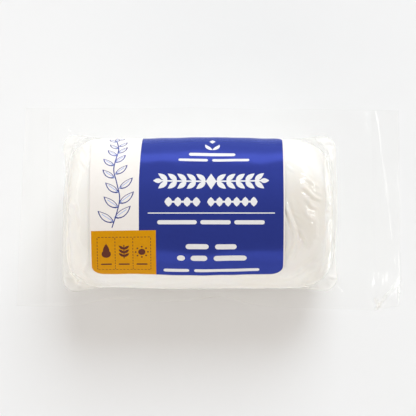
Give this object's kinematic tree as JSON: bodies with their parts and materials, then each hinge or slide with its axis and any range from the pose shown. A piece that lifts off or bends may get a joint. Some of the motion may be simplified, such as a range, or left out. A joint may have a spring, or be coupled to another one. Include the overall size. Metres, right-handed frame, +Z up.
{
  "type": "goat cheese log",
  "caption": "Fresh goat cheese log sealed in clear vacuum film, with a printed label wrapped over its front, lying on its back.",
  "frame": {"origin": "centre of the pack's box, on the surface that it lies on", "axes": "+X along the log to the right of the label, +Y towards the label's top edge, +Z up through the label"},
  "size_m": [0.1124, 0.061, 0.0414],
  "materials": {
    "cheese": "soft white fresh cheese, matte under its film",
    "film": "clear glossy vacuum film with wrinkles",
    "label": "satin printed label, deep blue with a cream panel and an ochre block"
  },
  "bodies": {
    "root": {"cheese_log": "cheese", "clear_film": "film", "front_label": "label"}
  },
  "joints": []
}
